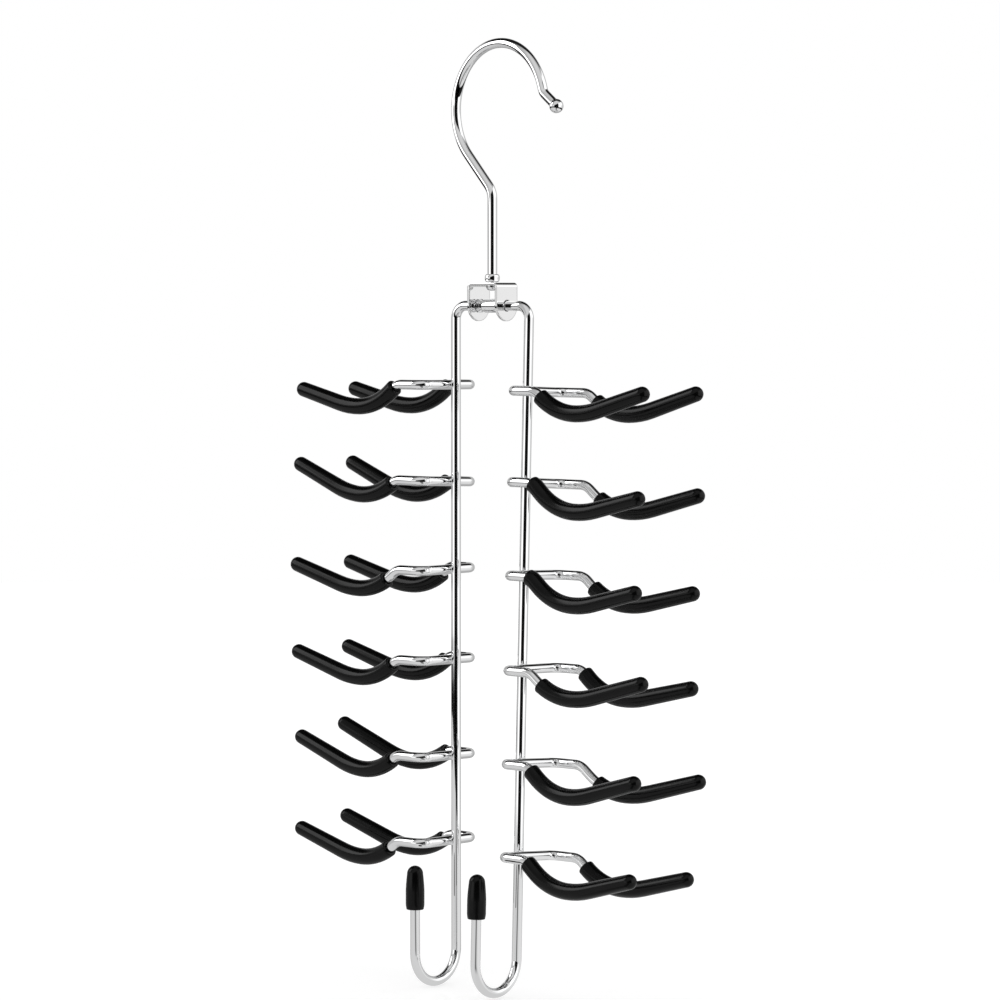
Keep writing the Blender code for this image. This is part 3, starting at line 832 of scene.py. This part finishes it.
def add_surface(tree, shader, place, haze, skin):
    """Roughness by the haze's noise, and bumps by the skin's. The haze's noise is handed back."""
    spread = noise(tree, place, haze.scale, haze.detail)
    rough = ranged(tree, spread, haze.low, haze.high, haze.least, haze.most)
    tree.links.new(rough, shader.inputs["Roughness"])
    height = noise(tree, place, skin.scale, skin.detail)
    bumps = add_node(
        tree,
        "ShaderNodeBump",
        inputs={"Height": height, "Strength": skin.strength, "Distance": skin.depth},
    )
    tree.links.new(bumps.outputs["Normal"], shader.inputs["Normal"])
    return spread


def metal_look(name, colour, haze, skin):
    """Plated metal: nearly a mirror, with a little haze in patches, and with the faint waves or grain of
    the wire or sheet under the plating."""
    made, tree, shader, place = new_look(name)
    shader.inputs["Metallic"].default_value = 1.0
    shader.inputs["Base Color"].default_value = colour
    add_surface(tree, shader, place, haze, skin)
    return made


def black_look():
    """Dipped and extruded black PVC: dark, slightly glossy, with a fine skin."""
    made, tree, shader, place = new_look("black PVC")
    shader.inputs["Specular IOR Level"].default_value = PVC_SHINE
    spread = add_surface(tree, shader, place, PVC_HAZE, PVC_SKIN)
    ramp = add_node(tree, "ShaderNodeValToRGB", inputs={"Fac": spread})
    for stop, colour in zip(ramp.color_ramp.elements, PVC_COLOURS):
        stop.color = colour
    tree.links.new(ramp.outputs["Color"], shader.inputs["Base Color"])
    return made


# Studio


# The room as the hanger's surfaces mirror it. Each list goes round it by degrees from the camera side, with
# the right-hand side of the picture as plus.
LEVEL = (  # brightness at eye level: the camera side is dark, and a soft box stands on either hand
    (-180, 0.48),
    (-90, 0.50),
    (-82, 0.62),
    (-75, 1.25),
    (-46, 1.25),
    (-37, 0.30),
    (-33, 0.004),
    (28, 0.004),
    (33, 0.45),
    (42, 1.25),
    (74, 1.25),
    (82, 0.82),
    (92, 0.72),
    (95, 0.86),
    (99, 0.86),
    (102, 0.68),
    (128, 0.50),
    (180, 0.48),
)
RAISED = (  # what the right soft box adds above eye level
    (-180, 0.0),
    (70, 0.0),
    (82, 0.35),
    (112, 0.35),
    (122, 0.0),
    (180, 0.0),
)
RAISED_FROM, RAISED_WHOLE = 3.0, 13.0  # degrees above level over which that sets in
CEILING = (  # degrees above level up to which the walls' light reaches
    (-180, 26),
    (-110, 26),
    (-96, 12),
    (-30, 12),
    (40, 42),
    (112, 42),
    (122, 30),
    (180, 26),
)
CEILING_EDGE = 6  # degrees over which it goes
OVERHEAD = (  # brightness above that
    (-180, 0.01),
    (-105, 0.01),
    (-80, 0.42),
    (-40, 0.64),
    (40, 0.64),
    (75, 0.40),
    (120, 0.01),
    (180, 0.01),
)
LEFT_BOX_FOOT = -5  # degrees above level of the left soft box's lower edge
RIGHT_BOX_FOOT = -19
FEET_MEET = 0.02  # share of a turn to either side of the camera side over which one level becomes the other
FOOT_SOFT = 0.5  # degrees to either side of that edge over which the light goes
BELOW_FOOT = 0.01  # share of the light that is left below it
SURFACES_DIMMED = 0.1  # by this much less light falls on surfaces than the room's white
TABLE = (  # brightness of the white table top as the chrome sees it: a painted reflection of the room, by angle round it
    (-180, 0.40),
    (-132, 0.48),
    (-100, 0.62),
    (-45, 0.66),
    (-15, 0.64),
    (-10, 0.16),
    (10, 0.16),
    (15, 0.64),
    (45, 0.75),
    (108, 0.75),
    (135, 0.44),
    (180, 0.40),
)
PANEL_AT = math.radians(-92)  # the left soft box's panel, round from the camera side
PANEL_DISTANCE = 1.0
PANEL_ACROSS = (-0.29, 1.0)  # its sides, from its middle line towards the camera
PANEL_BRIGHT_TO = 0.19  # where its bright half ends and a dim one begins
PANEL_HEIGHTS = (-0.05, 0.95)
PANEL_SOFT = 0.05  # how far its light fades at its edges
PANEL_LIGHT, PANEL_DIM = 3.0, 0.45  # brightness of the two halves
PANEL_OUT = math.cos(PANEL_AT) * TOWARDS + math.sin(PANEL_AT) * BESIDE  # from the hanger to the panel
PANEL_ALONG = math.cos(PANEL_AT) * BESIDE - math.sin(PANEL_AT) * TOWARDS  # along it, towards the camera
TABLE_COLOUR = (0.6, 0.6, 0.6, 1.0)
TABLE_GLOW = 0.58  # brings it up to the room's white
TABLE_ROUGHNESS = 0.06
TABLE_TRACE = 0.08  # share of the hanger's reflection that the camera sees in it
TRACE_FADES = (0.3, 0.5)  # metres from the hanger over which that goes
TABLE_NEAR = 0.62  # least brightness of the table's painted reflection close to the hanger
NEAR_FADES = (0.06, 0.11)  # metres from it over which that goes
TABLE_R = 0.8  # where the table ends for the chrome, while the camera sees no edge
TABLE_EDGE_SOFT = 0.02
TABLE_LEFT, TABLE_BACK = 0.27, 0.17  # from the hanger to the table's middle, seen from the camera
TABLE_INNER_R, TABLE_OUTER_R = 0.02, 2.4  # first and last circle of its mesh


def math_node(tree, operation, first, second=None):
    """One number worked out from one or two numbers, each plain or from another node."""
    made = tree.nodes.new("ShaderNodeMath")
    made.operation = operation
    for value, socket in zip((first, second), made.inputs):
        if isinstance(value, bpy.types.NodeSocket):
            tree.links.new(value, socket)
        elif value is not None:
            socket.default_value = value
    return made.outputs["Value"]


def vector_value(tree, operation, vector, fixed):
    """One number worked out from a node's vector and a fixed one, such as their distance."""
    made = add_node(tree, "ShaderNodeVectorMath", operation=operation)
    tree.links.new(vector, made.inputs[0])
    made.inputs[1].default_value = tuple(fixed)
    return made.outputs["Value"]


def turn_share(tree, direction):
    """A direction's angle round the room as a share of a full turn, which is 0.5 on the camera side."""
    towards = vector_value(tree, "DOT_PRODUCT", direction, TOWARDS)
    beside = vector_value(tree, "DOT_PRODUCT", direction, BESIDE)
    angle = math_node(tree, "ARCTAN2", beside, towards)
    return ranged(tree, angle, -math.pi, math.pi, 0.0, 1.0)


def round_the_room(tree, share, pairs):
    """A value looked up by the angle round the room, straight between the pairs of a list."""
    ramp = add_node(tree, "ShaderNodeValToRGB", inputs={"Fac": share})
    stops = ramp.color_ramp.elements
    largest = max(value for _, value in pairs)
    while len(stops) < len(pairs):
        stops.new(1.0)
    for stop, (degrees, value) in zip(stops, pairs):
        stop.position = degrees / 360 + 0.5
        stop.color = (value / largest, value / largest, value / largest, 1.0)
    return math_node(tree, "MULTIPLY", ramp.outputs["Color"], largest)


def in_mirrors(tree):
    """1 where a glossy or clear surface is what looks, and 0 for the camera and for plain light."""
    path = tree.nodes.new("ShaderNodeLightPath").outputs
    return math_node(tree, "MAXIMUM", path["Is Glossy Ray"], path["Is Transmission Ray"])


def mixed(tree, share, first, second):
    """Two shaders mixed, the first whole at a share of 0 and the second at 1."""
    made = tree.nodes.new("ShaderNodeMixShader")
    for value, socket in zip((share, first, second), made.inputs):
        tree.links.new(value, socket)
    return made.outputs["Shader"]


def add_studio_world():
    """White behind for the camera, plain soft light all round, and for reflections a bright room whose
    camera side is dark: what stands upright is the level brightness and the right soft box's share above
    it, held below the ceiling's edge and above the boxes' feet, and to that comes what is overhead."""
    world = bpy.data.worlds.new("studio")
    bpy.context.scene.world = world
    world.use_nodes = True
    tree = world.node_tree
    direction = tree.nodes.new("ShaderNodeTexCoord").outputs["Generated"]
    share = turn_share(tree, direction)
    height = add_node(tree, "ShaderNodeSeparateXYZ", inputs={"Vector": direction}).outputs["Z"]
    slope = math_node(tree, "DEGREES", math_node(tree, "ARCSINE", height))
    raised = ranged(tree, slope, RAISED_FROM, RAISED_WHOLE, 0.0, 1.0, smooth=True)
    box = math_node(tree, "MULTIPLY", round_the_room(tree, share, RAISED), raised)
    room = math_node(tree, "ADD", round_the_room(tree, share, LEVEL), box)
    over = math_node(tree, "SUBTRACT", slope, round_the_room(tree, share, CEILING))
    below_ceiling = ranged(tree, over, 0.0, CEILING_EDGE, 1.0, 0.0)
    above_ceiling = math_node(tree, "SUBTRACT", 1.0, below_ceiling)
    overhead = math_node(tree, "MULTIPLY", round_the_room(tree, share, OVERHEAD), above_ceiling)
    foot = ranged(tree, share, 0.5 - FEET_MEET, 0.5 + FEET_MEET, LEFT_BOX_FOOT, RIGHT_BOX_FOOT)
    over_foot = math_node(tree, "SUBTRACT", slope, foot)
    above_foot = ranged(tree, over_foot, -FOOT_SOFT, FOOT_SOFT, BELOW_FOOT, 1.0)
    walls = math_node(tree, "MULTIPLY", room, below_ceiling)
    upright = math_node(tree, "MULTIPLY", walls, above_foot)
    shine = math_node(tree, "ADD", upright, overhead)
    path = tree.nodes.new("ShaderNodeLightPath").outputs
    mirrored = math_node(tree, "MULTIPLY", path["Is Glossy Ray"], math_node(tree, "SUBTRACT", 1.0, shine))
    dimmed = math_node(tree, "MULTIPLY", path["Is Diffuse Ray"], SURFACES_DIMMED)
    whole = math_node(tree, "SUBTRACT", math_node(tree, "SUBTRACT", 1.0, mirrored), dimmed)
    background = tree.nodes["Background"].inputs
    tree.links.new(whole, background["Strength"])
    background["Color"].default_value = WHITE


def bare_look(name):
    """A new material without a shader, its nodes, and the place on the piece."""
    made, tree, shader, place = new_look(name)
    tree.nodes.remove(shader)
    return made, tree, place


def table_look():
    """The white table top. To the camera it is as white as the room behind, less the hanger's shadow and with
    a trace of its reflection. In the chrome it glows with a painted reflection of the room: pale by the
    room's brightness round it, or by a least value close to the hanger, and it ends in the dark."""
    made, tree, place = bare_look("white table top")
    below = UP * FLOOR_Z
    away = vector_value(tree, "DISTANCE", place, below)
    from_middle = vector_value(tree, "DISTANCE", place, below - TABLE_BACK * TOWARDS - TABLE_LEFT * BESIDE)

    lit = add_node(tree, "ShaderNodeBsdfDiffuse", inputs={"Color": TABLE_COLOUR})
    glow = add_node(tree, "ShaderNodeEmission", inputs={"Color": WHITE, "Strength": TABLE_GLOW})
    seen = tree.nodes.new("ShaderNodeAddShader")
    tree.links.new(lit.outputs[0], seen.inputs[0])
    tree.links.new(glow.outputs[0], seen.inputs[1])
    mirror = add_node(tree, "ShaderNodeBsdfGlossy", inputs={"Roughness": TABLE_ROUGHNESS})
    trace = ranged(tree, away, *TRACE_FADES, TABLE_TRACE, 0.0)
    to_camera = mixed(tree, trace, seen.outputs[0], mirror.outputs[0])

    # Painted reflection: for the chrome the table glows by the room's brightness round it, and at least this
    # pale close to the hanger
    near = ranged(tree, away, *NEAR_FADES, TABLE_NEAR, 0.0)
    shine = math_node(tree, "MAXIMUM", round_the_room(tree, turn_share(tree, place), TABLE), near)
    painted_reflection = add_node(tree, "ShaderNodeEmission", inputs={"Strength": shine})
    clear = tree.nodes.new("ShaderNodeBsdfTransparent")
    beyond = ranged(tree, from_middle, TABLE_R - TABLE_EDGE_SOFT, TABLE_R + TABLE_EDGE_SOFT, 0.0, 1.0)
    to_chrome = mixed(tree, beyond, painted_reflection.outputs[0], clear.outputs[0])
    whole = mixed(tree, in_mirrors(tree), to_camera, to_chrome)
    tree.links.new(whole, tree.nodes["Material Output"].inputs["Surface"])
    return made


def add_table():
    """A round white table top just below the hanger's lowest point: circles round its middle."""
    rings = np.linspace(TABLE_INNER_R, TABLE_OUTER_R, TABLE_RINGS)
    grid = turned_body(np.full(TABLE_RINGS, FLOOR_Z), rings, TABLE_SIDES)
    points = np.vstack([grid.reshape(-1, 3), UP * FLOOR_Z])
    squares = grid_faces(TABLE_RINGS, TABLE_SIDES, False, True)[:, ::-1]
    table = add_mesh("white_table", points, squares, fan(np.arange(TABLE_SIDES), len(points) - 1))
    table.data.materials.append(table_look())


def panel_look():
    """The soft box's lit front, bright in one half and dim in the one nearer the camera, and fading at its
    edges. Only chrome and sleeves mirror it, and the camera sees through it."""
    made, tree, place = bare_look("soft box front")
    across = vector_value(tree, "DOT_PRODUCT", place, PANEL_ALONG)
    height = vector_value(tree, "DOT_PRODUCT", place, UP)
    shown = in_mirrors(tree)
    for value, (low, high) in ((across, PANEL_ACROSS), (height, PANEL_HEIGHTS)):
        risen = ranged(tree, value, low, low + PANEL_SOFT, 0.0, 1.0, smooth=True)
        fallen = ranged(tree, value, high - PANEL_SOFT, high, 1.0, 0.0, smooth=True)
        shown = math_node(tree, "MULTIPLY", shown, math_node(tree, "MULTIPLY", risen, fallen))
    dims = (PANEL_BRIGHT_TO - PANEL_SOFT, PANEL_BRIGHT_TO, PANEL_LIGHT, PANEL_DIM)
    light = ranged(tree, across, *dims, smooth=True)
    lit = add_node(tree, "ShaderNodeEmission", inputs={"Strength": light})
    clear = tree.nodes.new("ShaderNodeBsdfTransparent")
    whole = mixed(tree, shown, clear.outputs[0], lit.outputs[0])
    tree.links.new(whole, tree.nodes["Material Output"].inputs["Surface"])
    return made


def add_panel():
    """An upright rectangle beside the hanger: point = distance times out + share times along + height."""
    columns = np.linspace(*PANEL_ACROSS, PANEL_COLUMNS)
    rows = np.linspace(*PANEL_HEIGHTS, PANEL_ROWS)
    share, height = np.meshgrid(columns, rows)
    flat = PANEL_DISTANCE * PANEL_OUT + share[..., None] * PANEL_ALONG
    points = (flat + height[..., None] * UP).reshape(-1, 3)
    panel = add_mesh("left_soft_box", points, grid_faces(*share.shape, False, False))
    panel.data.materials.append(panel_look())


def add_camera():
    """The photo's camera: out from its aim by its distance, and turned back to the aim."""
    data = bpy.data.cameras.new("photo camera")
    camera = bpy.data.objects.new("photo camera", data)
    bpy.context.scene.collection.objects.link(camera)
    back = Vector(TOWARDS * math.cos(CAMERA_ELEVATION) + UP * math.sin(CAMERA_ELEVATION))
    camera.location = CAMERA_AIM + back * CAMERA_DISTANCE
    camera.rotation_euler = (-back).to_track_quat("-Z", "Y").to_euler()
    data.sensor_width = SENSOR
    data.lens = FOCAL_PX / PICTURE_PX * SENSOR
    data.shift_x = SHIFT_PX / PICTURE_PX
    bpy.context.scene.camera = camera


LOOKS = {
    "chrome": metal_look("bright chrome", CHROME, CHROME_HAZE, CHROME_SKIN),
    "nickel_plate": metal_look("plated sheet steel", PLATE, PLATE_HAZE, PLATE_SKIN),
    "black_pvc": black_look(),
}
make_hook()
make_collar()
make_bracket()
make_coupling()
for arm_side in SIGNS:
    make_arm(arm_side)
    make_forks(arm_side)
add_studio_world()
add_table()
add_panel()
add_camera()
bpy.context.scene.view_settings.view_transform = "Standard"
